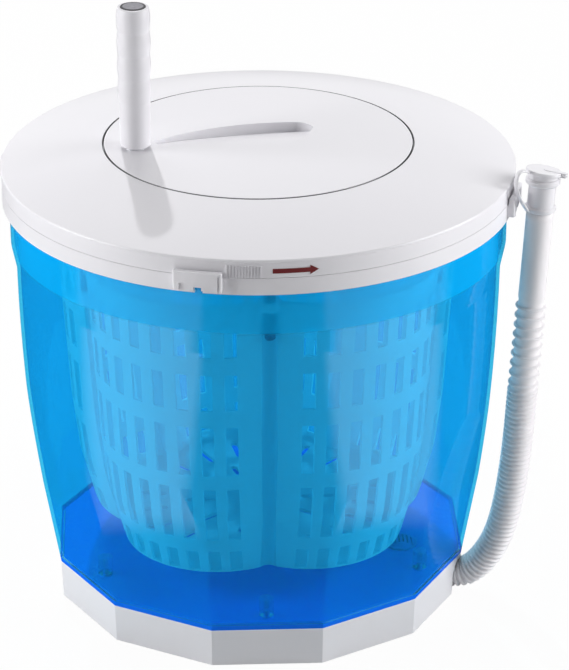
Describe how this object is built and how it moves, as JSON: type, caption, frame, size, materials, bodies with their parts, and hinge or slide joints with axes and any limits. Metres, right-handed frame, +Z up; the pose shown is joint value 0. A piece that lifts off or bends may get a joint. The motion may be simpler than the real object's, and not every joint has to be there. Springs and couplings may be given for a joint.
{
  "type": "manual washing machine",
  "caption": "Hand-cranked bucket washer: translucent tub on a faceted base, lobed slotted basket, white lid with flush turntable and upright grip, ribbed drain hose.",
  "frame": {"origin": "on the tub's axis at the floor, under the rubber feet", "axes": "+Z up along the tub's axis, -Y to the front, where the thumb ribs and the arrow are, +X to the right, towards the drain hose"},
  "size_m": [0.4156, 0.3852, 0.467],
  "materials": {
    "tub_blue": "clear blue polypropylene, gloss",
    "basket_clear": "frosted translucent plastic",
    "white_plastic": "white moulded plastic, satin gloss",
    "base_white": "white moulded plastic, satin",
    "inner_white": "white acetal, matt",
    "hose_white": "white flexible plastic",
    "dark_plastic": "dark grey plastic",
    "dark_pin": "dark acetal",
    "mark_red": "dark red printed mark",
    "steel": "stainless steel",
    "rubber_grey": "grey rubber"
  },
  "bodies": {
    "tub_base": {"tub": "tub_blue", "base_skirt": "base_white", "base_plate": "inner_white", "rubber_feet": "rubber_grey", "base_screws": "steel", "pivot_pin": "steel", "thrust_washer": "inner_white", "drain_gasket": "rubber_grey", "drain_elbow": "inner_white", "drain_strainer": "white_plastic", "hose_clamp": "steel", "drain_hose": "hose_white", "hose_collar": "white_plastic", "hose_cuff": "white_plastic", "cap_strap": "white_plastic"},
    "cap": {"drain_cap": "white_plastic"},
    "basket": {"basket": "basket_clear", "basket_bush": "inner_white"},
    "lid": {"lid_cover": "white_plastic", "lid_pan": "inner_white", "pan_screws": "steel", "rim_seal": "rubber_grey", "arrow_mark": "mark_red", "planet_studs": "steel", "stud_clips": "steel", "shaft_bush": "inner_white", "slip_ring": "inner_white"},
    "lock_ring": {"lock_ring": "white_plastic"},
    "output": {"sun_gear": "inner_white", "output_shaft": "steel", "drive_spider": "white_plastic", "drive_pins": "dark_pin", "spider_screw": "steel"},
    "planet_1": {"planet_gear_1": "inner_white"},
    "planet_2": {"planet_gear_2": "inner_white"},
    "planet_3": {"planet_gear_3": "inner_white"},
    "turntable": {"turntable": "white_plastic", "ring_gear": "inner_white", "crank_post": "steel", "crank_washer": "steel", "crank_nut": "steel"},
    "grip": {"grip_sleeve": "white_plastic", "grip_retainer": "steel", "grip_cap": "dark_plastic"}
  },
  "joints": [
    {"name": "basket_spin", "type": "hinge", "parent": "tub_base", "child": "basket", "pos_m": [0, 0, 0.06], "axis": [0, 0, 1], "continuous": true},
    {"name": "lid_lift", "type": "slide", "parent": "tub_base", "child": "lid", "axis": [0, 0, 1], "range_m": [0, 0.14]},
    {"name": "lock_turn", "type": "hinge", "parent": "lid", "child": "lock_ring", "pos_m": [0, 0, 0.323], "axis": [0, 0, 1], "range_deg": [0, 3.9]},
    {"name": "crank_turn", "type": "hinge", "parent": "lid", "child": "turntable", "pos_m": [0, 0, 0.356], "axis": [0, 0, 1], "continuous": true},
    {"name": "output_spin", "type": "hinge", "parent": "lid", "child": "output", "pos_m": [0, 0, 0.31], "axis": [0, 0, 1], "continuous": true},
    {"name": "planet_1_spin", "type": "hinge", "parent": "lid", "child": "planet_1", "pos_m": [0.02893, -0.03447, 0.335], "axis": [0, 0, 1], "continuous": true},
    {"name": "planet_2_spin", "type": "hinge", "parent": "lid", "child": "planet_2", "pos_m": [0.01539, 0.04229, 0.335], "axis": [0, 0, 1], "continuous": true},
    {"name": "planet_3_spin", "type": "hinge", "parent": "lid", "child": "planet_3", "pos_m": [-0.04432, -0.00781, 0.335], "axis": [0, 0, 1], "continuous": true},
    {"name": "grip_spin", "type": "hinge", "parent": "turntable", "child": "grip", "pos_m": [-0.0905, -0.0106, 0.41], "axis": [0, 0, 1], "continuous": true},
    {"name": "cap_pull", "type": "slide", "parent": "tub_base", "child": "cap", "axis": [0.0547, -0.0147, 0.9984], "range_m": [0, 0.02], "deforming": ["cap_strap"]}
  ],
  "couplings": [
    {"joint": "crank_turn", "follows": "basket_spin", "ratio": -0.25},
    {"joint": "output_spin", "follows": "basket_spin", "ratio": 1},
    {"joint": "planet_1_spin", "follows": "basket_spin", "ratio": -0.66667},
    {"joint": "planet_2_spin", "follows": "basket_spin", "ratio": -0.66667},
    {"joint": "planet_3_spin", "follows": "basket_spin", "ratio": -0.66667}
  ]
}
